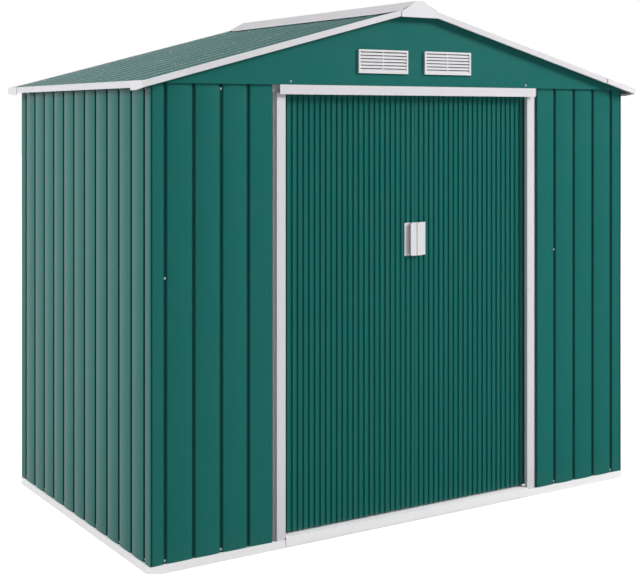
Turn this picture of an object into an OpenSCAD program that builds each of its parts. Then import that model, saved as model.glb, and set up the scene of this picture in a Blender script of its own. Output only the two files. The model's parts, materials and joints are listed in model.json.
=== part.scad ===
// Metal storage shed, about 2.1 m wide and 1.3 m deep, with two sliding doors under a
// low gable roof. Folded and ribbed steel sheet on a light frame of rolled channels.
// X runs along the front, Y from front to back, Z up. The origin is on the ground, at
// the middle of the plan. The front faces -Y. Millimetres.

/* [Body] */
// Width over the side walls
body_w = 2044; // [1500:1:3000]
// Depth over the front and rear walls
body_d = 1189; // [900:1:2400]
// Height of the base rail below the wall sheets
base_h = 28; // [20:1:60]
// Height from the top of the base rail to the lower edge of the gable
wall_h = 1514; // [1200:1:2200]
// Thickness of the modelled sheet
sheet_t = 1; // [0.8:0.1:1.5]

/* [Wall sheet] */
// Distance from one wall groove to the next
groove_pitch = 99.5; // [80:0.5:150]
// Width of a groove at the face of the sheet
groove_w = 15; // [10:1:24]
// Width of the floor of a groove
groove_floor = 7; // [4:1:10]
// Depth of a groove
groove_depth = 7; // [4:1:8]
// How far the middle of each pan stands above its edges
pan_crown = 2; // [0:0.5:3]
// First groove of the front and rear sheets, from the corner
front_groove_start = 53; // [30:1:70]
// First groove of the side sheets, from the front corner
side_groove_start = 50; // [30:1:70]

/* [Doorway] */
// Clear width between the jambs
door_opening = 1061; // [800:1:1300]
// Width of a jamb's front face
jamb_w = 33; // [25:1:60]
// Width of the recess between a jamb and the wall sheet
jamb_recess = 18; // [12:1:30]
// How far the jamb's flange lies behind the wall face
jamb_depth = 14; // [12:1:16]
// Visible height of the header over the doors
header_h = 32; // [20:1:60]
// How far the header stands in front of the wall face
header_proud = 15; // [10:1:30]
// How far the header's lower edge lies below the gable's lower edge
header_drop = 32; // [15:1:40]
// How far each end of the header stops short of the jamb's outer edge
header_in = 3.5; // [0:0.5:10]
// Height of the sill above the top of the base rail
sill_rise = 10; // [6:1:20]

/* [Sliding doors] */
// Width of each door
door_w = 563; // [450:1:700]
// Offset of the line where the doors meet from the middle of the front
meet_offset = 18.5; // [-20:0.5:20]
// Gap between the two closed doors
meet_gap = 2; // [1:0.5:6]
// Depth of the doors' face behind the wall face
door_setback = 21; // [21:1:40]
// Distance from one door rib to the next
rib_pitch = 22.5; // [18:0.5:40]
// Width of the groove between two door ribs
rib_groove_w = 9; // [5:0.5:12]
// Width of the floor of that groove
rib_groove_floor = 5; // [3:0.5:5]
// Depth of that groove
rib_depth = 5; // [3:0.5:6]
// Flat strip along each upright edge of a door
door_strip = 16.5; // [12:0.5:22]
// Thickness of a door over its folded edges
door_depth = 20; // [16:1:30]

/* [Handles] */
// Height of the handle's lower end above the top of the base rail
handle_z = 913; // [700:1:1200]
// Height of a handle
handle_h = 117; // [80:1:180]
// Width of the handle's plate
handle_w = 44.5; // [30:0.5:60]
// Width of the raised grip
grip_w = 25.5; // [18:0.5:30]
// How far the grip stands off the plate
grip_rise = 12; // [8:1:18]
// Radius of the grip's free corners
grip_r = 7; // [3:0.5:10]

/* [Roof] */
// Rise of the roof for each unit of run
roof_slope = 0.2655; // [0.15:0.005:0.5]
// Overhang of the roof beyond the side walls
over_side = 40; // [30:1:90]
// Overhang of the roof beyond the front and rear walls
over_end = 34; // [30:1:90]
// Height of the trims round the roof's edge
trim_h = 20; // [16:1:40]
// Half width of the flat top of the ridge cap
ridge_flat = 17; // [10:1:30]
// Half width of the raised middle of the ridge cap
ridge_half = 78; // [50:1:100]
// Width of the wing of the ridge cap that lies on each slope
ridge_wing = 36; // [20:1:60]
// How far back the wing's corners are cut
ridge_cut = 85; // [30:1:150]
// Height of the ridge cap above the peak of the sheets
ridge_rise = 15.5; // [8:0.5:24]
// Length of a corner cap along the eave
cap_side = 93; // [50:1:150]
// Length of a corner cap along the gable
cap_end = 149; // [50:1:180]

/* [Vents] */
// Width of a gable vent
vent_w = 209; // [150:1:260]
// Height of a gable vent
vent_h = 82; // [60:1:90]
// Gap between the two vents
vent_gap = 74; // [50:1:120]
// Height of the vents' lower edge above the gable's lower edge
vent_z = 43.5; // [40:0.5:60]
// How far a vent stands out from the gable
vent_proud = 7.5; // [6:0.5:20]
// Number of open slots in a vent
vent_slots = 6; // [4:1:8]

/* [Hidden] */

green = [0.13, 0.40, 0.37];
white = [0.86, 0.85, 0.86];

seat = 0.3;              // gap where one piece seats on another
run = 5.5;               // clearance kept by a moving piece
xw = body_w / 2;         // face of a side wall
yw = body_d / 2;         // face of a front or rear wall
gable_z = base_h + wall_h;
rail_t = 1.5;            // thickness of the frame's channels
trim_t = 1.2;            // thickness of the white trims
gable_out = 7;           // back of the gable sheet ahead of the wall face
pan_segs = 8;            // flats that make up one crowned pan
sheet_depth = groove_depth + sheet_t;

// roof: height of the sheets' upper face over a point x from the middle
wall_top = gable_z + 5;
roof_low = (sheet_depth + seat) * sqrt(1 + roof_slope * roof_slope);
peak_z = wall_top + roof_low + roof_slope * xw;
function roof_z(x) = peak_z - roof_slope * abs(x);
roof_a = atan(roof_slope);
roof_x = xw + over_side;
roof_y = yw + over_end;
roof_gap = 25;           // start of each sheet from the middle

// doorway
jamb_in = door_opening / 2;
jamb_out = jamb_in + jamb_w;
sheet_end = jamb_out + jamb_recess;
door_face = -yw + door_setback;
sill_top = base_h + sill_rise;
door_z0 = sill_top + run;
track_z = gable_z - header_drop + 7;
door_z1 = track_z - run;
track_run = 20.2;        // depth of the ledge that carries the hangers
track_lip = 8;

// one length of ribbed sheet as a strip in (run, height), front face at height 0
function pan(a, b, la, lb, crown, segs) = [for (i = [0 : segs]) let (
    s = a + (b - a) * i / segs,
    w = la && lb ? (2 * s - a - b) / (b - a) : la ? (b - s) / (b - a) : lb ? (s - a) / (b - a) : 0)
    [s, -crown * w * w]];
function sheet_line(len, gs, gt, gb, gd, crown, segs) = [for (i = [0 : len(gs)])
    each concat(
        pan(i == 0 ? 0 : gs[i - 1] + gt / 2, i == len(gs) ? len : gs[i] - gt / 2,
            i > 0, i < len(gs), crown, segs),
        i < len(gs) ? [[gs[i] - gb / 2, -gd], [gs[i] + gb / 2, -gd]] : [])];
function reversed(v) = [for (i = [len(v) - 1 : -1 : 0]) v[i]];
function lowered(v, t) = [for (p = v) [p[0], p[1] - t]];

// outline of a sheet from its face line; f0 and f1 are the depths of the edges folded back
// at its start and its end, 0 for a plain edge
function sheet_outline(line, len, t, f0, f1) = let (
    inner = lowered(line, t), n = len(line))
    concat(f0 > 0 ? [[t, -f0], [0, -f0]] : [], line, f1 > 0 ? [[len, -f1], [len - t, -f1]] : [],
        reversed([for (i = [0 : n - 1]) i == 0 && f0 > 0 ? [t, -t]
            : i == n - 1 && f1 > 0 ? [len - t, -t] : inner[i]]));
module wall_strip(len, gs, f1 = 0) {
    line = sheet_line(len, gs, groove_w, groove_floor, groove_depth, pan_crown, pan_segs);
    polygon(sheet_outline(line, len, sheet_t, 0, f1));
}
module door_strip_2d(len, gs, f) {
    line = sheet_line(len, gs, rib_groove_w, rib_groove_floor, rib_depth, 0, 1);
    polygon(sheet_outline(line, len, sheet_t, f, f));
}
// grooves from a start to the last that leaves room before the end
function grooves(start, pitch, end) = [for (s = [start : pitch : end]) s];

// ---------- base ----------
base_deep = 30;
base_out = 2;
base_lip = 22;
module base_2d() {
    // section in (outward, z): outer web, ledge, foot and the upstand behind the sheet
    translate([base_out - base_deep, 0]) square([base_deep, rail_t]);
    translate([base_out - base_deep, base_h - rail_t]) square([base_deep, rail_t]);
    translate([base_out - rail_t, 0]) square([rail_t, base_h]);
}
module base_lip_2d() {
    translate([-sheet_depth - seat - rail_t, base_h - rail_t]) square([rail_t, base_lip + rail_t]);
}
// a rail along a wall: half is the distance from the middle to the corner
module mitred(half) {
    intersection() {
        children();
        rotate([0, 0, 0]) linear_extrude(base_h + base_lip + 1)
            polygon([[-half - base_out + seat, base_out + 0], [half + base_out - seat, base_out],
                [half + base_out - seat - base_deep, -base_deep + base_out],
                [-half - base_out + seat + base_deep, -base_deep + base_out]]);
    }
}
module along(len) {
    // (outward, z) section swept along X, outward becoming +Y
    rotate([90, 0, 90]) translate([0, 0, -len / 2]) linear_extrude(len) children();
}
module base_rail(half) {
    mitred(half) along(2 * (half + base_out)) { base_2d(); base_lip_2d(); }
}
module base_front() {
    color(white) translate([0, -yw, 0]) mirror([0, 1, 0]) {
        mitred(xw) along(2 * (xw + base_out)) base_2d();
        mitred(xw) for (s = [-1, 1]) translate([s * (xw + sheet_end) / 2, 0, 0])
            along(xw - sheet_end - 2 * (sheet_t + seat)) base_lip_2d();
    }
}
module base_rear() { color(white) translate([0, yw, 0]) base_rail(xw); }
module base_right() { color(white) translate([xw, 0, 0]) rotate([0, 0, -90]) base_rail(yw); }
module base_left() { color(white) translate([-xw, 0, 0]) rotate([0, 0, 90]) base_rail(yw); }

// ---------- walls ----------
module side_sheet() {
    gs = grooves(side_groove_start, groove_pitch, body_d - groove_w - 8);
    linear_extrude(wall_top - base_h - seat) wall_strip(body_d, gs);
}
module wall_left() {
    color(green) translate([-xw, -yw, base_h + seat]) rotate([0, 0, 90]) side_sheet();
}
module wall_right() {
    color(green) mirror([1, 0, 0]) translate([-xw, -yw, base_h + seat]) rotate([0, 0, 90]) side_sheet();
}
end_start = sheet_t + seat;
module wall_rear() {
    len = body_w - 2 * end_start;
    left = grooves(front_groove_start - end_start, groove_pitch, len / 2 - groove_w);
    gs = concat(left, [for (i = [len(left) - 1 : -1 : 0]) len - left[i]]);
    color(green) translate([-len / 2, yw, base_h + seat])
        linear_extrude(wall_top - base_h - 2 * seat - 3) wall_strip(len, gs);
}
module front_sheet() {
    len = xw - end_start - sheet_end;
    gs = grooves(front_groove_start - end_start, groove_pitch, len - groove_w);
    // its inner edge is folded back to close the sheet at the door jamb, up to the track
    h = wall_top - base_h - 2 * seat - 3;
    difference() {
        linear_extrude(h) wall_strip(len, gs, jamb_depth - seat);
        translate([len - 2 * sheet_t, -jamb_depth - 1, track_z - base_h - 2 * seat])
            cube([3 * sheet_t, jamb_depth + 1 - sheet_t, h]);
    }
}
module wall_front_left() {
    color(green) translate([-xw + end_start, -yw, base_h + seat]) mirror([0, 1, 0]) front_sheet();
}
module wall_front_right() { mirror([1, 0, 0]) wall_front_left(); }

// ---------- doorway ----------
jamb_flange = 15;
jamb_bead = 8;           // place and height of the bead in the recess
bead_h = 6;
module jamb_right() {
    color(white) translate([0, -yw, base_h + seat]) mirror([0, 1, 0])
        linear_extrude(track_z - base_h - 2 * seat) {
            translate([jamb_in, -trim_t]) square([jamb_w, trim_t]);
            translate([jamb_in, -jamb_depth - trim_t]) square([trim_t, jamb_depth + trim_t]);
            translate([jamb_out - trim_t, -jamb_depth - trim_t]) square([trim_t, jamb_depth + trim_t]);
            translate([jamb_out - trim_t, -jamb_depth - trim_t])
                square([jamb_recess + trim_t + jamb_flange, trim_t]);
            // bead that stiffens the flange
            translate([jamb_out + jamb_bead, -jamb_depth - trim_t / 2]) square([trim_t, bead_h + trim_t / 2]);
        }
}
module jamb_left() { mirror([1, 0, 0]) jamb_right(); }
module door_header() {
    z0 = gable_z - header_drop;
    color(white) translate([0, -yw, 0]) mirror([0, 1, 0]) {
        // a folded channel, open at both ends
        along(2 * (jamb_out - header_in)) {
            translate([header_proud - trim_t, z0]) square([trim_t, header_h]);
            translate([seat, z0 + header_h - seat - trim_t]) square([header_proud - seat, trim_t]);
            translate([header_proud - 5, z0]) square([5, trim_t]);
        }
    }
}
module track_front() {
    // rail over the doors: web behind the sheets, ledge and lip that carry the hangers
    len = 2 * (xw - sheet_depth - seat - rail_t - seat);
    web = -sheet_depth - seat - rail_t;
    color(white) translate([0, -yw, 0]) mirror([0, 1, 0]) along(len) {
        translate([web, track_z]) square([rail_t, wall_top - 4 - track_z]);
        translate([web - track_run, track_z]) square([track_run + rail_t, rail_t]);
        translate([web - track_run, track_z]) square([rail_t, track_lip]);
    }
}
sill_out = base_out + seat + rail_t;
sill_back = door_setback + door_depth + run;
module door_sill() {
    len = door_opening - 2 * seat;
    color(white) translate([0, -yw, 0]) mirror([0, 1, 0]) along(len) {
        translate([sill_out - rail_t, 6]) square([rail_t, sill_top - 8]);
        polygon([[sill_out, sill_top - 2 - rail_t], [sill_out, sill_top - 2], [-door_setback + run, sill_top],
            [-sill_back - rail_t, sill_top], [-sill_back - rail_t, sill_top - rail_t],
            [-door_setback + run, sill_top - rail_t]]);
        translate([-base_deep + base_out, base_h + seat]) square([rail_t, sill_rise - seat - rail_t / 2]);
    }
}

// ---------- inner frame ----------
rail_deep = 20;
rail_h = 30;
module angle_2d() {
    translate([-sheet_depth - seat - rail_t, 0]) square([rail_t, rail_h]);
    translate([-sheet_depth - seat - rail_deep, 0]) square([rail_deep, rail_t]);
}
top_rail_z = gable_z - 34;
mid_rail_z = base_h + wall_h * 0.588;
side_len = 2 * (yw - sheet_depth - seat - rail_t - seat - rail_deep);
rear_len = 2 * (xw - sheet_depth - seat - rail_deep - seat);
side_full = 2 * (yw - sheet_depth - seat - rail_t - seat);
module side_rail(z, len) { translate([xw, 0, z]) rotate([0, 0, -90]) along(len) angle_2d(); }
module rear_rail(z) { translate([0, yw, z]) along(rear_len) angle_2d(); }
module frame_rails(z) {
    // one length on each side wall and one on the rear wall, kept apart at the corners
    color(white) {
        for (m = [0, 1]) mirror([m, 0, 0]) side_rail(z, side_full);
        rear_rail(z);
    }
}
module top_rails() { frame_rails(top_rail_z); }
module mid_rails() {
    frame_rails(mid_rail_z);
    // a flat bar behind each front sheet, clear of the sliding doors
    x0 = sheet_end - jamb_recess + jamb_flange + 12;
    x1 = xw - sheet_depth - seat - rail_t - seat;
    color(white) for (m = [0, 1]) mirror([m, 0, 0])
        translate([x0, -yw + sheet_depth + seat, mid_rail_z]) cube([x1 - x0, rail_t, rail_h]);
}
beam_half = 40;
beam_h = 30;
module ridge_beam() {
    top = roof_z(beam_half) - roof_low;
    color(white) rotate([0, 0, 90]) along(body_d + 2 * (gable_out - seat)) {
        translate([-beam_half, top - rail_t]) square([2 * beam_half, rail_t]);
        for (s = [-1, 1]) translate([s * (beam_half - rail_t / 2) - rail_t / 2, top - beam_h])
            square([rail_t, beam_h]);
    }
}

// ---------- gables and vents ----------
vent_x = (vent_gap + vent_w) / 2;
vent_rim = 7;
module gable_plate() {
    x1 = xw - 2;
    top0 = roof_z(0) - roof_low;
    top1 = roof_z(x1) - roof_low;
    translate([0, -gable_out, 0]) rotate([90, 0, 0]) {
        linear_extrude(trim_t) difference() {
            polygon([[-x1, gable_z], [x1, gable_z], [x1, top1], [0, top0], [-x1, top1]]);
            children();
        }
        // hem and end flanges folded back to the wall
        translate([-x1, gable_z, seat - gable_out]) cube([2 * x1, trim_t, gable_out - seat]);
        for (s = [0, 1]) mirror([s, 0, 0]) translate([x1 - trim_t, gable_z, seat - gable_out])
            cube([trim_t, top1 - gable_z - 0.5, gable_out - seat]);
    }
}
module gable_front() {
    color(green) translate([0, -yw, 0]) gable_plate()
        for (s = [-1, 1]) translate([s * vent_x - vent_w / 2 + vent_rim, gable_z + vent_z + vent_rim])
            square([vent_w - 2 * vent_rim, vent_h - 2 * vent_rim]);
}
module gable_rear() { color(green) translate([0, yw, 0]) mirror([0, 1, 0]) gable_plate(); }
module vent() {
    back = gable_out + trim_t + seat;
    pitch = (vent_h - 2 * vent_rim) / vent_slots;
    translate([-vent_w / 2, 0, 0]) {
        difference() {
            translate([0, -back - vent_proud, 0]) cube([vent_w, vent_proud, vent_h]);
            translate([vent_rim, -back - vent_proud - 1, vent_rim])
                cube([vent_w - 2 * vent_rim, vent_proud + 2, vent_h - 2 * vent_rim]);
        }
        // louvres: each falls outward
        for (i = [0 : vent_slots - 1]) translate([vent_rim - 1, -back, vent_rim + i * pitch])
            rotate([90, 0, 90]) linear_extrude(vent_w - 2 * vent_rim + 2)
                polygon([[-vent_proud + 1, -0.5], [-vent_proud + 1, 5.5], [-1.5, 9], [-1.5, 7.5],
                    [-vent_proud + 2.5, 4.5], [-vent_proud + 2.5, -0.5]]);
        translate([vent_w / 2 - 2, -back - vent_proud + 2.5, vent_rim - 1])
            cube([4, vent_proud - 3, vent_h - 2 * vent_rim + 2]);
    }
}
module vent_right() { color(white) translate([vent_x, -yw, gable_z + vent_z]) vent(); }
module vent_left() { color(white) translate([-vent_x, -yw, gable_z + vent_z]) vent(); }

// ---------- roof ----------
module roof_right() {
    depth = 2 * (roof_y - trim_t - seat);
    first = side_groove_start + over_end - trim_t - seat;
    gs = grooves(first, groove_pitch, depth - groove_w - 8);
    run_len = (roof_x - trim_t - seat - roof_gap) / cos(roof_a);
    color(green) translate([0, 0, peak_z]) rotate([0, roof_a, 0])
        translate([roof_gap / cos(roof_a), -depth / 2, 0])
            rotate([90, 0, 90]) linear_extrude(run_len) wall_strip(depth, gs);
}
module roof_left() { mirror([1, 0, 0]) roof_right(); }
// trim section in (inward, z): a channel that closes over the sheet's edge
trim_top = 12;
trim_foot = 9;
module trim_up(z) {
    translate([0, z - trim_h]) square([trim_t, trim_h]);
    translate([0, z - trim_t]) square([trim_top, trim_t]);
    translate([0, z - trim_h]) square([trim_foot, trim_t]);
}
cover = seat + trim_t;   // trims' upper face above the sheet, square to the slope
module rake_front_right() {
    len = (roof_x + 30) / cos(roof_a);
    color(white) intersection() {
        translate([0, -roof_y, peak_z]) rotate([0, roof_a, 0]) translate([-15, 0, 0])
            rotate([90, 0, 90]) linear_extrude(len) trim_up(cover);
        translate([seat / 2, -roof_y - 5, 0])
            cube([roof_x - trim_t - seat - seat / 2, trim_top + 10, peak_z + 50]);
    }
}
module rake_front_left() { mirror([1, 0, 0]) rake_front_right(); }
module rake_rear_right() { mirror([0, 1, 0]) rake_front_right(); }
module rake_rear_left() { mirror([1, 0, 0]) rake_rear_right(); }
module eave_right() {
    len = 2 * (roof_y - trim_top - seat);
    z1 = roof_z(roof_x) + cover * 1.04;
    zin = z1 + roof_slope * trim_top;
    color(white) rotate([90, 0, 0]) translate([0, 0, -len / 2]) linear_extrude(len)
        polygon([[roof_x, z1], [roof_x - trim_top, zin], [roof_x - trim_top, zin - trim_t],
            [roof_x - trim_t, z1 - trim_t * 0.9], [roof_x - trim_t, z1 - trim_h + trim_t],
            [roof_x - trim_foot, z1 - trim_h + trim_t], [roof_x - trim_foot, z1 - trim_h],
            [roof_x, z1 - trim_h]]);
}
module eave_left() { mirror([1, 0, 0]) eave_right(); }
cap_t = 2;
cap_more = 1;            // how far a corner cap reaches past the trims it covers
cap_tab = 7;             // how much deeper it is at the rear of its side wing
cap_tab_len = 41;        // length of that deeper stretch
module corner_cap_front_right() {
    xo = roof_x + seat + cap_t;
    yo = roof_y + seat + cap_t;
    z1 = roof_z(roof_x) + cover * 1.04 + cap_more;
    z0 = z1 - trim_h - 2 * cap_more;
    color(white) union() {
        // side wing, deeper towards its rear
        translate([xo - cap_t, -yo, 0]) rotate([90, 0, 90]) linear_extrude(cap_t)
            polygon([[0, z0], [0, z1], [cap_side, z1], [cap_side, z0 - cap_tab],
                [cap_side - cap_tab_len, z0 - cap_tab]]);
        // front wing, its upper edge a little lower where it leaves the trim
        translate([0, -yo + cap_t, 0]) rotate([90, 0, 0]) linear_extrude(cap_t)
            polygon([[xo, z0], [xo, z1], [xo - cap_end, z1 - 3 + roof_slope * cap_end],
                [xo - cap_end, z0 + roof_slope * cap_end]]);
    }
}
module corner_cap_front_left() { mirror([1, 0, 0]) corner_cap_front_right(); }
module corner_cap_rear_right() { mirror([0, 1, 0]) corner_cap_front_right(); }
module corner_cap_rear_left() { mirror([1, 0, 0]) corner_cap_rear_right(); }
ridge_x = ridge_half + ridge_wing;
ridge_z = peak_z + ridge_rise;
// height of the cap's underside over the slope, clear of the trims it crosses
function ridge_low(x) = roof_z(x) + cover * 1.04 + seat;
module ridge_cap() {
    t = trim_t;
    color(white) intersection() {
        rotate([90, 0, 0]) translate([0, 0, -roof_y]) linear_extrude(2 * roof_y)
            polygon([[-ridge_x, ridge_low(ridge_x)], [-ridge_x, ridge_low(ridge_x) + t],
                [-ridge_half, ridge_low(ridge_half) + t], [-ridge_flat, ridge_z], [ridge_flat, ridge_z],
                [ridge_half, ridge_low(ridge_half) + t], [ridge_x, ridge_low(ridge_x) + t],
                [ridge_x, ridge_low(ridge_x)], [ridge_half - 1, ridge_low(ridge_half - 1)],
                [ridge_flat - t / 4, ridge_z - t], [-ridge_flat + t / 4, ridge_z - t],
                [-ridge_half + 1, ridge_low(ridge_half - 1)]]);
        // the wings' corners are cut back
        linear_extrude(ridge_z + 10) polygon([
            [-ridge_half, -roof_y], [ridge_half, -roof_y], [ridge_x, ridge_cut - roof_y],
            [ridge_x, roof_y - ridge_cut], [ridge_half, roof_y], [-ridge_half, roof_y],
            [-ridge_x, roof_y - ridge_cut], [-ridge_x, ridge_cut - roof_y]]);
    }
}
ridge_end_drop = 57.5;
module ridge_end_front() {
    // plate that closes the raised middle and covers the upper ends of the trims
    zb = ridge_z - ridge_end_drop;
    zs = ridge_low(ridge_half) - 4;
    color(white) translate([0, -roof_y - seat, 0]) rotate([90, 0, 0]) linear_extrude(cap_t)
        polygon([[-ridge_half, zb], [ridge_half, zb], [ridge_half, zs], [ridge_flat, ridge_z],
            [-ridge_flat, ridge_z], [-ridge_half, zs]]);
}
module ridge_end_rear() { mirror([0, 1, 0]) ridge_end_front(); }

// ---------- sliding doors ----------
door_h = door_z1 - door_z0;
fold = sheet_t;
module door_sheet() {
    gs = grooves(door_strip, rib_pitch, door_w - door_strip + 0.1);
    linear_extrude(door_h) door_strip_2d(door_w, gs, door_depth);
}
module door_left() {
    color(green) translate([meet_offset - meet_gap / 2 - door_w, door_face, door_z0])
        mirror([0, 1, 0]) mirror([1, 0, 0]) translate([-door_w, 0, 0]) door_sheet();
}
module door_right() {
    color(green) translate([meet_offset + meet_gap / 2, door_face, door_z0])
        mirror([0, 1, 0]) door_sheet();
}
channel_h = 25;
hanger_w = 30;
hanger_in = 70;
module door_channel(z) {
    // channel across the back of the door, open to the rear
    x0 = fold + seat;
    len = door_w - 2 * x0;
    front = -rib_depth - sheet_t - seat;
    back = -door_depth + 1;
    translate([x0, front - rail_t, z]) cube([len, rail_t, channel_h]);
    for (dz = [0, channel_h - rail_t]) translate([x0, back, z + dz]) cube([len, front - back, rail_t]);
}
module door_rails() {
    for (z = [0, (door_h - channel_h) / 2, door_h - channel_h]) door_channel(z);
}
// hooks that stand on the top channel and ride on the ledge of the track over the doors
module door_hangers() {
    web = door_setback - sheet_depth - seat - rail_t;  // track web ahead of the door's face
    ledge = web - track_run;                           // back of the track's lip
    stem = min(ledge - run, -rib_depth - sheet_t - seat - rail_t - 1);
    arm = track_z + track_lip + run - door_z0;
    foot = web - run;
    foot_w = 6;
    low = track_z + rail_t + seat - door_z0;
    for (x = [hanger_in, door_w - hanger_in]) translate([x + hanger_w / 2, 0, 0])
        rotate([0, -90, 0]) linear_extrude(hanger_w) polygon([
            [door_h + seat, stem + 3], [arm, stem + 3], [arm, foot - foot_w], [low, foot - foot_w],
            [low, foot], [arm + 3, foot], [arm + 3, stem - 3], [door_h + seat, stem - 3]]);
}
module at_left_door() {
    color(white) translate([meet_offset - meet_gap / 2 - door_w, door_face, door_z0])
        mirror([0, 1, 0]) children();
}
module at_right_door() {
    color(white) translate([meet_offset + meet_gap / 2, door_face, door_z0])
        mirror([0, 1, 0]) children();
}
module door_rails_left() { at_left_door() door_rails(); }
module door_rails_right() { at_right_door() door_rails(); }
module door_hangers_left() { at_left_door() door_hangers(); }
module door_hangers_right() { at_right_door() door_hangers(); }
plate_t = 2;
grip_wall = 2.5;
grip_end = 10;           // closed length at each end of the grip
module grip_2d(w, lift, r) {
    translate([0, lift]) square([w - r, handle_h - 2 * lift]);
    translate([0, lift + r]) square([w, handle_h - 2 * (lift + r)]);
    for (y = [lift + r, handle_h - lift - r]) translate([w - r, y]) circle(r = r, $fn = 48);
}
module handle() {
    // plate and raised grip, from the meeting edge towards +X; the grip is a cup whose
    // free side is open to the fingers
    z0 = base_h + handle_z;
    translate([0, door_face - seat, z0]) rotate([90, 0, 0]) {
        cube([handle_w, handle_h, plate_t]);
        difference() {
            linear_extrude(plate_t + grip_rise) grip_2d(grip_w, 0, grip_r);
            translate([grip_wall, grip_end, plate_t])
                cube([grip_w, handle_h - 2 * grip_end, grip_rise - grip_wall]);
        }
    }
}
module handle_right() { color(white) translate([meet_offset + meet_gap / 2 + 0.5, 0, 0]) handle(); }
module handle_left() {
    color(white) translate([meet_offset - meet_gap / 2 - 0.5, 0, 0]) mirror([1, 0, 0]) handle();
}

base_front();
base_rear();
base_left();
base_right();
door_sill();
wall_left();
wall_right();
wall_rear();
wall_front_left();
wall_front_right();
jamb_left();
jamb_right();
door_header();
track_front();
top_rails();
mid_rails();
ridge_beam();
gable_front();
gable_rear();
vent_left();
vent_right();
roof_left();
roof_right();
ridge_cap();
ridge_end_front();
ridge_end_rear();
rake_front_left();
rake_front_right();
rake_rear_left();
rake_rear_right();
eave_left();
eave_right();
corner_cap_front_left();
corner_cap_front_right();
corner_cap_rear_left();
corner_cap_rear_right();
door_left();
door_right();
door_rails_left();
door_rails_right();
door_hangers_left();
door_hangers_right();
handle_left();
handle_right();
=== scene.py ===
# %% [markdown]
# # A metal storage shed
# The shed is folded and ribbed sheet steel on a light frame, under a low gable roof, with two
# sliding doors. Its shapes come packed from the CAD model, so this script only dresses them:
# it gives each sheet and trim its paint, drives in the screws, and lights the whole.
# The frame is loaded first.

# %% Load the imported shed
import json
import math
import bpy
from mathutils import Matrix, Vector

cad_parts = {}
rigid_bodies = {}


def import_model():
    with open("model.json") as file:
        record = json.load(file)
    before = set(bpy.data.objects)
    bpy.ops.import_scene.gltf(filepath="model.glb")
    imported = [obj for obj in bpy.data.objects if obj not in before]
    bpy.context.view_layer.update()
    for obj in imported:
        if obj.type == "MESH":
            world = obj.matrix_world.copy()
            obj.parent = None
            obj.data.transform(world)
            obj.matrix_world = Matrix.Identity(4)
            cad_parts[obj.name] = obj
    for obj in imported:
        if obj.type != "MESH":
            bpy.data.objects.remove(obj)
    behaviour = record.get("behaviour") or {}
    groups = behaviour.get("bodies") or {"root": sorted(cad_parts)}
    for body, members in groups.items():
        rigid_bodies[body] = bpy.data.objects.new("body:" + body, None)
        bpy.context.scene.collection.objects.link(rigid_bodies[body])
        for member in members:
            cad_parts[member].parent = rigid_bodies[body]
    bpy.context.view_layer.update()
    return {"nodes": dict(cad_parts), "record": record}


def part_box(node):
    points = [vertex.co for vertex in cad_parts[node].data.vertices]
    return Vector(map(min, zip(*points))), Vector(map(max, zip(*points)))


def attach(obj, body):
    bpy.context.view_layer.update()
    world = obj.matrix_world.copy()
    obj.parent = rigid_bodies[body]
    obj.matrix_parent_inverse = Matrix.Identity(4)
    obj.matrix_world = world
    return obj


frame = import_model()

bodies = frame["record"]["behaviour"]["bodies"]
print("pieces on each body:", {name: len(nodes) for name, nodes in bodies.items()})

# %% [markdown]
# ## The camera
# A shed looks right when its upright edges stay upright. The camera could be tilted down at it,
# but then the edges would lean together. So it looks level from a standing person's eye height,
# and the lens is shifted down instead, as an architect's camera does.

# %% Camera
eye = Vector((-2.7006, -4.2362, 1.436))   # metres, in front of the shed and to its left
turn_right = 32.34                        # degrees from looking square at the doors
camera = bpy.data.objects.new("camera", bpy.data.cameras.new("camera"))
bpy.context.scene.collection.objects.link(camera)
camera.location = eye
camera.rotation_euler = (math.radians(90), 0, math.radians(-turn_right))
camera.data.lens = 71.65
camera.data.sensor_width = 36
camera.data.shift_y = -0.2664
camera.data.clip_start = 0.05
camera.data.dof.use_dof = False
bpy.context.scene.camera = camera
print("camera at", tuple(eye), "lens", round(camera.data.lens, 2))

# %% [markdown]
# ## Helpers for nodes
# Every finish below is a small net of nodes. Writing each link by hand hides the idea, so two
# helpers do the chores: one adds a node and fills its sockets, one starts a shader group with
# named inputs and outputs. A group is built once and then placed in each material that needs it.

# %% Node helpers
def add(tree, kind, settings=None, **sockets):
    """Adds a node. Settings are its options, sockets are values or other nodes' outputs."""
    node = tree.nodes.new(kind)
    for name, value in (settings or {}).items():
        setattr(node, name, value)
    for name, value in sockets.items():
        key = int(name[1:]) if name[0] == "i" and name[1:].isdigit() else name.replace("_", " ")
        if isinstance(value, bpy.types.NodeSocket):
            tree.links.new(value, node.inputs[key])
        else:
            node.inputs[key].default_value = value
    return node


KINDS = {"value": "NodeSocketFloat", "vector": "NodeSocketVector", "colour": "NodeSocketColor"}


def start_group(name, inputs, outputs):
    """A shader group whose inputs are {name: (kind, value)} and outputs {name: kind}."""
    group = bpy.data.node_groups.new(name, "ShaderNodeTree")
    for label, (kind, value) in inputs.items():
        socket = group.interface.new_socket(name=label, in_out="INPUT", socket_type=KINDS[kind])
        if value is not None:
            socket.default_value = value
    for label, kind in outputs.items():
        group.interface.new_socket(name=label, in_out="OUTPUT", socket_type=KINDS[kind])
    print("group", name, "takes", list(inputs), "and gives", list(outputs))
    return group, group.nodes.new("NodeGroupInput").outputs, group.nodes.new("NodeGroupOutput")


def noise(tree, place, scale, detail=2.0, rough=0.5):
    """Smooth noise between about 0.3 and 0.7, read at a place on the piece."""
    return add(tree, "ShaderNodeTexNoise", Vector=place, Scale=scale, Detail=detail,
               Roughness=rough).outputs[0]


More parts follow.
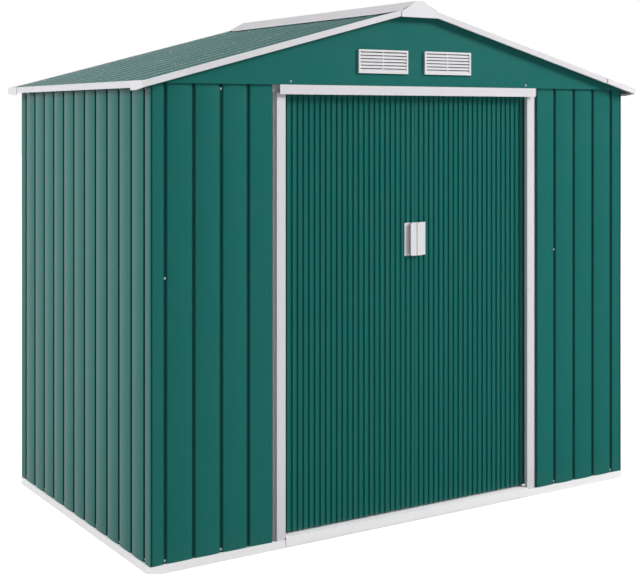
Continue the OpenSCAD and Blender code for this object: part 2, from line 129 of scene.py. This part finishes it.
def math_node(tree, what, a, b=0.0, c=None):
    """One step of arithmetic on values or on other nodes' outputs."""
    extra = {} if c is None else {"i2": c}
    return add(tree, "ShaderNodeMath", {"operation": what}, i0=a, i1=b, **extra).outputs[0]


print("helpers ready for", ", ".join(KINDS))

# %% [markdown]
# ## The studio
# Painted sheet takes its look from what it mirrors. A room that is bright all round would lay a
# grey veil over the green. So the sky of this studio is white behind and above the shed, where
# it draws the soft gloss along the side wall and the roof, and dim in front, so that the
# green facing the doors keeps its depth. What the camera sees of the sky itself is plain white.

# %% Sky
behind_level, front_level, above_level = 0.68, 0.03, 0.85
behind_from, behind_full = 0.64, 0.97     # how far a direction points to the rear, 0 to 1
fade_from, fade_end = 0.21, 0.34          # how far it points up, where the rear light fades
above_from, above_full = 0.35, 0.75       # and where the light from above sets in
high_share = 0.25                         # what is left of the rear light above that
scene = bpy.context.scene
scene.view_settings.view_transform = "Standard"
sky = bpy.data.worlds.new("studio_sky")
scene.world = sky
sky.use_nodes = True
tree = sky.node_tree
tree.nodes.clear()
way = add(tree, "ShaderNodeTexCoord").outputs["Generated"]
parts = add(tree, "ShaderNodeSeparateXYZ", Vector=way).outputs
behind = add(tree, "ShaderNodeMapRange", Value=parts["Y"], From_Min=behind_from,
             From_Max=behind_full, To_Min=front_level, To_Max=behind_level).outputs["Result"]
higher = add(tree, "ShaderNodeMapRange", Value=parts["Z"], From_Min=fade_from,
             From_Max=fade_end, To_Min=1.0, To_Max=high_share).outputs["Result"]
behind = math_node(tree, "MULTIPLY", behind, higher)
above = add(tree, "ShaderNodeMapRange", {"interpolation_type": "SMOOTHSTEP"}, Value=parts["Z"],
            From_Min=above_from, From_Max=above_full, To_Min=0.0,
            To_Max=above_level).outputs["Result"]
light = math_node(tree, "MAXIMUM", behind, above)
seen = add(tree, "ShaderNodeLightPath").outputs["Is Camera Ray"]
light = add(tree, "ShaderNodeMix", i0=seen, i2=light, i3=1.0).outputs[0]
background = add(tree, "ShaderNodeBackground", Color=(1, 1, 1, 1), Strength=light)
add(tree, "ShaderNodeOutputWorld", Surface=background.outputs["Background"])
print("sky:", behind_level, "behind,", front_level, "in front,", above_level, "above")

# %% [markdown]
# ## The floor
# A shed stands on something, but the ground is not a part of it. Leaving the ground out would
# let the shed float, and catching its shadow alone would need a second layer. So one plain pale
# sheet lies under it. To the camera it glows, so that it meets the white sky without
# a line, and it is left out of what the paint mirrors.

# %% Floor
floor_half = 40.0
floor_pale, floor_glow = 0.60, 0.80
mesh = bpy.data.meshes.new("floor")
mesh.from_pydata([(-floor_half, -floor_half, 0), (floor_half, -floor_half, 0),
                  (floor_half, floor_half, 0), (-floor_half, floor_half, 0)], [], [(0, 1, 2, 3)])
floor = bpy.data.objects.new("floor", mesh)
scene.collection.objects.link(floor)
pale = bpy.data.materials.new("studio_floor")
pale.use_nodes = True
sheet = pale.node_tree.nodes["Principled BSDF"]
sheet.inputs["Base Color"].default_value = (floor_pale, floor_pale, floor_pale, 1)
sheet.inputs["Roughness"].default_value = 1.0
sheet.inputs["Specular IOR Level"].default_value = 0.0
sheet.inputs["Emission Color"].default_value = (1, 1, 1, 1)
seen = add(pale.node_tree, "ShaderNodeLightPath").outputs["Is Camera Ray"]
glow = math_node(pale.node_tree, "MULTIPLY", seen, floor_glow)
pale.node_tree.links.new(glow, sheet.inputs["Emission Strength"])
mesh.materials.append(pale)
floor.visible_glossy = False
print("floor", 2 * floor_half, "m square")

# %% [markdown]
# ## The lamps
# The sky alone would light every fold alike. So soft lamps light the shed, each from one
# direction: the faces turned away from them, the flanks of the grooves and the ends of the trims,
# then go dark and show the folds. A sun would do it too, but with shadows too hard for a studio.
# The one behind lights the rear wall. The roof would mirror it as one white sheet, so it is
# hidden from reflections.

# %% Lamps
def soft_lamp(name, place, aim, wide, tall, watts):
    """A lit rectangle, sized in metres, that faces the point it is aimed at."""
    lamp = bpy.data.objects.new(name, bpy.data.lights.new(name, "AREA"))
    scene.collection.objects.link(lamp)
    lamp.data.shape = "RECTANGLE"
    lamp.data.size, lamp.data.size_y = wide, tall
    lamp.data.energy = watts
    lamp.location = place
    lamp.rotation_euler = (Vector(aim) - Vector(place)).to_track_quat("-Z", "Y").to_euler()
    return lamp


soft_lamp("left_lamp", place=(-8.2, 1.2, 4.2), aim=(-1.0, 0, 0.9), wide=3.6, tall=2.4, watts=430)
soft_lamp("right_lamp", place=(8.8, -7.6, 6.8), aim=(0, -0.6, 0.9), wide=4.2, tall=3.2, watts=1560)
rear_lamp = soft_lamp("rear_lamp", place=(3.4, 8.6, 5.2), aim=(0, 0.6, 0.9), wide=3.6, tall=2.4,
                      watts=560)
rear_lamp.visible_glossy = False

# %% [markdown]
# ## Effects that the finishes share
# Sprayed paint on sheet steel is never even. It dries with a fine skin like orange peel, thin
# sheet bulges very slightly between its folds, the colour drifts a little from place to place,
# handling leaves duller patches, and rain splashes soil up from the ground. The floors of the
# grooves are painted darker too, as painted shade for the shadow in them. Each of these could be
# drawn into every paint by hand. As a group of its own it is made once, and every finish places
# it with its own amounts.

# %% [markdown]
# ### Paint skin
# The orange peel and the bulges are both noise, fine and broad. They could be modelled, but the
# peel is microns high and a bulge a fraction of a millimetre, so a height for a bump does it.

# %% Paint skin
skin, given, out = start_group("paint_skin", {
    "Place": ("vector", None), "Peel Size": ("value", 0.002), "Peel Height": ("value", 0.000004),
    "Bulge Size": ("value", 0.25), "Bulge Height": ("value", 0.0002)}, {"Height": "value"})
peel = noise(skin, given["Place"], math_node(skin, "DIVIDE", 1.0, given["Peel Size"]), 1.0)
bulge = noise(skin, given["Place"], math_node(skin, "DIVIDE", 1.0, given["Bulge Size"]), 0.0)
peel = math_node(skin, "MULTIPLY", peel, given["Peel Height"])
bulge = math_node(skin, "MULTIPLY", bulge, given["Bulge Height"])
skin.links.new(math_node(skin, "ADD", peel, bulge), out.inputs["Height"])

# %% [markdown]
# ### Colour drift
# The same paint is a shade lighter or darker from place to place. A painted picture would
# look coarse up close, so the shade follows broad noise with a little fine grain in it.

# %% Colour drift
grain_scale = 900.0                       # about a millimetre from speck to speck
broad_share, grain_share = 0.8, 0.2
drift, given, out = start_group("colour_drift", {
    "Place": ("vector", None), "Paint": ("colour", (0.5, 0.5, 0.5, 1)), "Size": ("value", 0.4),
    "Amount": ("value", 0.08)}, {"Colour": "colour"})
broad = noise(drift, given["Place"], math_node(drift, "DIVIDE", 1.0, given["Size"]), 3.0)
grain = noise(drift, given["Place"], grain_scale, 1.0)
mixed = math_node(drift, "ADD", math_node(drift, "MULTIPLY", broad, broad_share),
                  math_node(drift, "MULTIPLY", grain, grain_share))
swing = math_node(drift, "MULTIPLY", math_node(drift, "SUBTRACT", mixed, 0.5), given["Amount"])
swing = math_node(drift, "ADD", math_node(drift, "MULTIPLY", swing, 2.0), 1.0)
shade = add(drift, "ShaderNodeVectorMath", {"operation": "SCALE"}, i0=given["Paint"], Scale=swing)
drift.links.new(shade.outputs["Vector"], out.inputs["Colour"])

# %% [markdown]
# ### Dull patches
# Hands and rain take the shine off in places. One roughness for a whole sheet looks like plastic
# film, so it wanders between a glossy and a dull value.

# %% Dull patches
patches, given, out = start_group("dull_patches", {
    "Place": ("vector", None), "Glossy": ("value", 0.2), "Dull": ("value", 0.35),
    "Size": ("value", 0.12)}, {"Roughness": "value"})
cloud = noise(patches, given["Place"], math_node(patches, "DIVIDE", 1.0, given["Size"]), 4.0)
cloud = add(patches, "ShaderNodeMapRange", Value=cloud, From_Min=0.3, From_Max=0.7,
            To_Min=given["Glossy"], To_Max=given["Dull"]).outputs["Result"]
patches.links.new(cloud, out.inputs["Roughness"])

# %% [markdown]
# ### Splashed soil
# Rain throws soil at the foot of the shed. The mask is strongest on the ground and fades
# out a hand's breadth above it, broken into spots by noise. It could be painted on, but read
# from the height it fits every piece.

# %% Splashed soil
soil, given, out = start_group("splashed_soil", {
    "Place": ("vector", None), "Reach": ("value", 0.12), "Amount": ("value", 0.3)},
    {"Mask": "value"})
up = add(soil, "ShaderNodeSeparateXYZ", Vector=given["Place"]).outputs["Z"]
near_ground = add(soil, "ShaderNodeMapRange", {"interpolation_type": "SMOOTHSTEP"}, Value=up,
                  From_Min=0.0, From_Max=given["Reach"], To_Min=1.0, To_Max=0.0).outputs["Result"]
spots = add(soil, "ShaderNodeMapRange", Value=noise(soil, given["Place"], 90.0, 5.0, 0.7),
            From_Min=0.4, From_Max=0.75, To_Min=0.25, To_Max=1.0).outputs["Result"]
mask = math_node(soil, "MULTIPLY", near_ground, spots)
soil.links.new(math_node(soil, "MULTIPLY", mask, given["Amount"]), out.inputs["Mask"])

# %% [markdown]
# ### Painted shade in the grooves
# The floors of the grooves in the walls and the roof are painted darker. This is painted shade,
# standing in for the shadow that falls in them. How deep a point lies is read from its place:
# behind the face of an end wall, behind the face of a side wall, or below the slope of the roof.
# The shader's own ambient occlusion would find grooves too, but it is slower and noisier. Only
# the depth of a groove counts, and the painted shade is weaker on the end walls, where it starts
# deeper, than on the sides and the roof.

# %% Painted groove shade
too_deep, far_too_deep = 0.0072, 0.0078   # past a groove's own depth, where the painted shade ends
# painted shade: a mask that darkens the floors of the grooves, where their shadow falls
groove_shade, given, out = start_group("painted_groove_shade", {
    "Place": ("vector", None), "Half Width": ("value", 1.0), "Half Depth": ("value", 0.6),
    "Wall Top": ("value", 1.5), "Peak": ("value", 1.8), "Slope": ("value", 0.25),
    "Amount": ("value", 0.5)}, {"Mask": "value"})
xyz = add(groove_shade, "ShaderNodeSeparateXYZ", Vector=given["Place"]).outputs
away_x = math_node(groove_shade, "ABSOLUTE", xyz["X"])
away_y = math_node(groove_shade, "ABSOLUTE", xyz["Y"])


def in_groove(depth, start, full, most):
    """Most on the floor of a groove, 0 on the pans and on anything deeper."""
    low = add(groove_shade, "ShaderNodeMapRange", {"interpolation_type": "SMOOTHSTEP"}, Value=depth,
              From_Min=start, From_Max=full, To_Min=0.0, To_Max=most).outputs["Result"]
    deep = add(groove_shade, "ShaderNodeMapRange", Value=depth, From_Min=too_deep,
               From_Max=far_too_deep, To_Min=1.0, To_Max=0.0).outputs["Result"]
    return math_node(groove_shade, "MULTIPLY", low, deep)


end_depth = math_node(groove_shade, "SUBTRACT", given["Half Depth"], away_y)
side_depth = math_node(groove_shade, "SUBTRACT", given["Half Width"], away_x)
end_wall = in_groove(end_depth, start=0.0042, full=0.0068, most=0.85)
side_wall = in_groove(side_depth, start=0.0017, full=0.0038, most=1.0)
walls = math_node(groove_shade, "MULTIPLY", math_node(groove_shade, "MAXIMUM", end_wall, side_wall),
                  math_node(groove_shade, "LESS_THAN", xyz["Z"], given["Wall Top"]))
fallen = math_node(groove_shade, "MULTIPLY", away_x, given["Slope"])
slope_z = math_node(groove_shade, "SUBTRACT", given["Peak"], fallen)
roof_depth = math_node(groove_shade, "SUBTRACT", slope_z, xyz["Z"])
on_roof = in_groove(roof_depth, start=0.0017, full=0.0040, most=1.0)
mask = math_node(groove_shade, "MAXIMUM", walls, on_roof)
groove_shade.links.new(math_node(groove_shade, "MULTIPLY", mask, given["Amount"]), out.inputs["Mask"])

# %% [markdown]
# ## The finishes
# The shed wears five: green paint on the sheets, white paint on the trims and frame, a brighter
# white on the rails and the sill that lie on the ground, white moulded plastic on the vents,
# caps, handles and hangers, and zinc on the screws. Each could be a net of its own, but the
# steps are the same for all. So one function places the effects, and each finish differs in the
# values that it hands over.

# %% One coat of finish
dry_soil = (0.21, 0.165, 0.12, 1)
# the colour of the painted shade in the grooves, a darker copy of the green
groove_shade_colour = (0.002, 0.022, 0.021, 1)
soil_roughness = 0.5                      # added to the paint's own where soil lies
cap_over_slope = 0.0155                   # the ridge cap's top over the line of the roof's slope
slope = 0.2655                            # rise of the roof for each metre of run
wall_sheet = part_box("wall_left")
roof_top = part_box("ridge_cap")[1].z - cap_over_slope


def finish(name, paint, glossy, dull, drift_amount, peel, bulge, soil_amount, metal=0.0,
           grooves=0.0):
    """One material. Peel and bulge are heights in metres, the amounts run from 0 to 1."""
    coat = bpy.data.materials.new(name)
    coat.use_nodes = True
    tree = coat.node_tree
    surface = tree.nodes["Principled BSDF"]
    place = add(tree, "ShaderNodeTexCoord").outputs["Object"]
    colour = add(tree, "ShaderNodeGroup", {"node_tree": drift}, Place=place, Paint=(*paint, 1),
                 Amount=drift_amount).outputs["Colour"]
    soiled = add(tree, "ShaderNodeGroup", {"node_tree": soil}, Place=place,
                 Amount=soil_amount).outputs["Mask"]
    colour = add(tree, "ShaderNodeMix", {"data_type": "RGBA"}, i0=soiled, i6=colour,
                 i7=dry_soil).outputs[2]
    # painted shade: the floors of the grooves are darkened towards that colour
    if grooves:
        groove_shaded = add(tree, "ShaderNodeGroup", {"node_tree": groove_shade}, Place=place, Amount=grooves,
                    Half_Width=-wall_sheet[0].x, Half_Depth=-wall_sheet[0].y,
                    Wall_Top=wall_sheet[1].z + 0.001, Peak=roof_top, Slope=slope).outputs["Mask"]
        colour = add(tree, "ShaderNodeMix", {"data_type": "RGBA"}, i0=groove_shaded, i6=colour,
                     i7=groove_shade_colour).outputs[2]
    rough = add(tree, "ShaderNodeGroup", {"node_tree": patches}, Place=place, Glossy=glossy,
                Dull=dull).outputs["Roughness"]
    rough = math_node(tree, "MULTIPLY_ADD", soiled, soil_roughness, rough)
    height = add(tree, "ShaderNodeGroup", {"node_tree": skin}, Place=place, Peel_Height=peel,
                 Bulge_Height=bulge).outputs["Height"]
    bump = add(tree, "ShaderNodeBump", Height=height, Distance=1.0, Strength=1.0)
    tree.links.new(colour, surface.inputs["Base Color"])
    tree.links.new(rough, surface.inputs["Roughness"])
    tree.links.new(bump.outputs["Normal"], surface.inputs["Normal"])
    surface.inputs["Metallic"].default_value = metal
    return coat


# the wall top and the roof peak that bound the painted groove shade
print("grime reaches up to", round(wall_sheet[1].z, 3), "m, roof peak at", round(roof_top, 3), "m")

# %% [markdown]
# ## The paints
# The sheets leave the works with a smooth gloss, the trims a little duller, and the moulded
# plastic duller still, with a coarser skin. Every piece could be given its finish by hand. The
# record says which slot each piece is in, so the finishes are laid on by slot.

# %% Mix the paints
# the green coat carries the painted groove shade at 0.85
green_coat = finish("green_coat", (0.0085, 0.134, 0.119), glossy=0.20, dull=0.26, drift_amount=0.04,
                    peel=0.000002, bulge=0.0003, soil_amount=0.08, grooves=0.85)
white_coat = finish("white_coat", (0.67, 0.655, 0.68), glossy=0.28, dull=0.38, drift_amount=0.02,
                    peel=0.000003, bulge=0.0001, soil_amount=0.08)
white_plastic = finish("white_plastic", (0.70, 0.69, 0.71), glossy=0.34, dull=0.46,
                       drift_amount=0.02, peel=0.000004, bulge=0.00005, soil_amount=0.04)
rail_coat = finish("rail_coat", (0.90, 0.89, 0.90), glossy=0.28, dull=0.38, drift_amount=0.02,
                   peel=0.000003, bulge=0.0001, soil_amount=0.05)
zinc = finish("zinc_screws", (0.78, 0.79, 0.80), glossy=0.30, dull=0.45, drift_amount=0.06,
              peel=0.000002, bulge=0.0, soil_amount=0.05, metal=0.3)
wears = {"painted_green_sheet": green_coat, "painted_white_steel": white_coat,
         "white_plastic": white_plastic}
subparts = frame["record"]["subparts"]
for part in subparts:
    coats = frame["nodes"][part["node"]].data.materials
    coats.clear()
    on_ground = part["node"].startswith("base_") or part["node"] == "door_sill"
    coats.append(rail_coat if on_ground else wears[part["material_slot"]])
print("pieces in each slot:",
      {slot: sum(p["material_slot"] == slot for p in subparts) for slot in wears})

# %% [markdown]
# ## Screws
# The sheets are held to the frame by small pan-head screws that sit down in the grooves. They
# could be copied by hand, but a shed has dozens of them. So one Geometry Nodes tree makes a
# head with a washer and a recess, and sets one on each point of a list, turned to stand
# square to the sheet. Each is given a random turn, as a real screwdriver leaves it.

# %% The screw tree
disc_sides = 12
head_taper, recess_share = 0.72, 0.55     # the top of the head, and the mouth of its recess
recess_depth = 0.5                        # of the head's height
screw_tree = bpy.data.node_groups.new("screw_rows", "GeometryNodeTree")
screw_tree.is_modifier = True
sockets = {}
for label, kind, value in (("Points", "NodeSocketGeometry", None),
                           ("Head Radius", "NodeSocketFloat", 0.0031),
                           ("Head Height", "NodeSocketFloat", 0.0022),
                           ("Washer Radius", "NodeSocketFloat", 0.0037),
                           ("Washer Height", "NodeSocketFloat", 0.0006),
                           ("Seed", "NodeSocketInt", 7),
                           ("Metal", "NodeSocketMaterial", None)):
    socket = screw_tree.interface.new_socket(name=label, in_out="INPUT", socket_type=kind)
    if value is not None:
        socket.default_value = value
    sockets[label] = socket.identifier
screw_tree.interface.new_socket(name="Screws", in_out="OUTPUT", socket_type="NodeSocketGeometry")
given = screw_tree.nodes.new("NodeGroupInput").outputs
out = screw_tree.nodes.new("NodeGroupOutput")


def disc(radius, depth, bottom):
    """A closed disc whose underside lies at the given height."""
    made = add(screw_tree, "GeometryNodeMeshCylinder", {"fill_type": "NGON"},
               Vertices=disc_sides, Radius=radius, Depth=depth)
    centre = math_node(screw_tree, "MULTIPLY_ADD", depth, 0.5, bottom)
    lift = add(screw_tree, "ShaderNodeCombineXYZ", Z=centre).outputs["Vector"]
    moved = add(screw_tree, "GeometryNodeTransform", Geometry=made.outputs["Mesh"],
                Translation=lift)
    return moved.outputs["Geometry"], made.outputs["Top"]


washer, _ = disc(given["Washer Radius"], given["Washer Height"], 0.0)
head, top = disc(given["Head Radius"], given["Head Height"], given["Washer Height"])
domed = add(screw_tree, "GeometryNodeScaleElements", {"domain": "FACE"}, Geometry=head,
            Selection=top, Scale=head_taper).outputs["Geometry"]
rim = add(screw_tree, "GeometryNodeExtrudeMesh", Mesh=domed, Selection=top, Offset_Scale=0.0)
mouth = add(screw_tree, "GeometryNodeScaleElements", {"domain": "FACE"},
            Geometry=rim.outputs["Mesh"], Selection=rim.outputs["Top"],
            Scale=recess_share).outputs["Geometry"]
inward = math_node(screw_tree, "MULTIPLY", given["Head Height"], -recess_depth)
recess = add(screw_tree, "GeometryNodeExtrudeMesh", Mesh=mouth, Selection=rim.outputs["Top"],
             Offset_Scale=inward).outputs["Mesh"]
joined = add(screw_tree, "GeometryNodeJoinGeometry")
screw_tree.links.new(washer, joined.inputs[0])
screw_tree.links.new(recess, joined.inputs[0])
square = add(screw_tree, "GeometryNodeInputNamedAttribute", {"data_type": "FLOAT_VECTOR"},
             Name="square").outputs[0]
stand = add(screw_tree, "FunctionNodeAlignRotationToVector", {"axis": "Z"}, Vector=square)
angle = add(screw_tree, "FunctionNodeRandomValue", {"data_type": "FLOAT"}, i2=0.0, i3=math.tau,
            Seed=given["Seed"]).outputs[1]
twist = add(screw_tree, "FunctionNodeAxisAngleToRotation", Axis=(0, 0, 1), Angle=angle)
turned = add(screw_tree, "FunctionNodeRotateRotation", {"rotation_space": "LOCAL"},
             Rotation=stand.outputs["Rotation"], Rotate_By=twist.outputs["Rotation"])
placed = add(screw_tree, "GeometryNodeInstanceOnPoints", Points=given["Points"],
             Instance=joined.outputs["Geometry"], Rotation=turned.outputs["Rotation"])
real = add(screw_tree, "GeometryNodeRealizeInstances", Geometry=placed.outputs["Instances"])
made = add(screw_tree, "GeometryNodeSetMaterial", Geometry=real.outputs["Geometry"],
           Material=given["Metal"])
screw_tree.links.new(made.outputs["Geometry"], out.inputs["Screws"])
print("screw tree inputs:", list(sockets))

# %% [markdown]
# ## A row of screws
# The tree works on a mesh of bare points, each with the direction that its screw stands in. The
# points could carry the tree for good, but other programs can't read it. So the result is taken
# off as a plain mesh, the carrier is removed, and the mesh rides on the shed's body.


# %% Set a row of screws
def screw_row(name, places):
    """Makes one mesh of screws. Places are (point on the sheet, direction square to it)."""
    points = bpy.data.meshes.new(name + "_points")
    points.from_pydata([p for p, _ in places], [], [])
    square = points.attributes.new("square", "FLOAT_VECTOR", "POINT")
    for i, (_, way) in enumerate(places):
        square.data[i].vector = way
    carrier = bpy.data.objects.new(name + "_points", points)
    scene.collection.objects.link(carrier)
    modifier = carrier.modifiers.new("screws", "NODES")
    modifier.node_group = screw_tree
    modifier[sockets["Metal"]] = zinc
    view = bpy.context.evaluated_depsgraph_get()
    plain = bpy.data.meshes.new_from_object(carrier.evaluated_get(view), depsgraph=view)
    bpy.data.objects.remove(carrier)
    row = bpy.data.objects.new(name, plain)
    plain.name = name
    scene.collection.objects.link(row)
    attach(row, "shed")
    print(name, len(places), "screws,", len(plain.polygons), "faces")


# %% [markdown]
# ## Where the screws go
# The sheets are screwed to the rail at their foot and the one at their top, and the end walls
# also to the bars halfway up. The places follow from the sheets' own boxes and the spacing
# of their grooves, so that each head sits on the floor of a groove and none hangs beside it.

# %% Screws of the walls
pitch = 0.0995                            # from groove to groove
pressed = 0.0002                          # the washer beds in this far
groove = 0.007 - pressed                  # depth of a groove
edge = 0.012                              # from the free edge of a rail to its row of screws
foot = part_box("base_rear")[1].z - edge
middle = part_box("mid_rails")[0].z + 0.008
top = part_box("top_rails")[1].z - edge
left_x, front_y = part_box("wall_left")[0].x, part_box("wall_left")[0].y
rear_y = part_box("wall_rear")[1].y
from_corner, from_front = 0.053, 0.050    # first grooves of the end and the side sheets

front = [((side * (-left_x - from_corner - i * pitch), front_y + groove, z), (0, -1, 0))
         for side, i, z in ((-1, 0, foot), (-1, 2, foot), (-1, 0, middle), (-1, 2, top),
                            (1, 3, foot), (1, 0, foot), (1, 3, middle))]
rear = [((side * (-left_x - from_corner - i * pitch), rear_y - groove, z), (0, 1, 0))
        for side in (-1, 1) for i in (0, 2, 4, 6, 8) for z in (foot, middle, top)]
sides = [((side * (-left_x - groove), front_y + from_front + i * pitch, z), (side, 0, 0))
         for side in (-1, 1) for i in (0, 2, 4, 7, 9, 11) for z in (foot, top)]
screw_row("screws_front", front)
screw_row("screws_rear", rear)
screw_row("screws_sides", sides)

# %% [markdown]
# ## The gables and the roof
# A gable is flat and is held along its foot, over the ends of the doorway. The roof sheets are
# held in their grooves along the eaves, over the top rails. Their screws could stand upright,
# but a head lies flat on its sheet, so each leans with the slope.

# %% Screws of the gables and the roof
gable_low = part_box("gable_front")[0]
gable_face, gable_row = -gable_low.y - pressed, gable_low.z + 0.011
from_middle = 0.515
gables = [((x, side * gable_face, gable_row), (0, side, 0))
          for side in (-1, 1) for x in (-from_middle, from_middle)]
screw_row("screws_gables", gables)

lean = math.atan(slope)
out_x = -left_x - 0.018                   # over the top rails of the side walls
roof = []
for side in (-1, 1):
    square = Vector((side * math.sin(lean), 0, math.cos(lean)))
    for i in (0, 2, 4, 7, 9, 11):
        along = front_y + from_front + i * pitch
        on_slope = Vector((side * out_x, along, roof_top - slope * out_x))
        roof.append((on_slope - square * groove, square))
screw_row("screws_roof", roof)
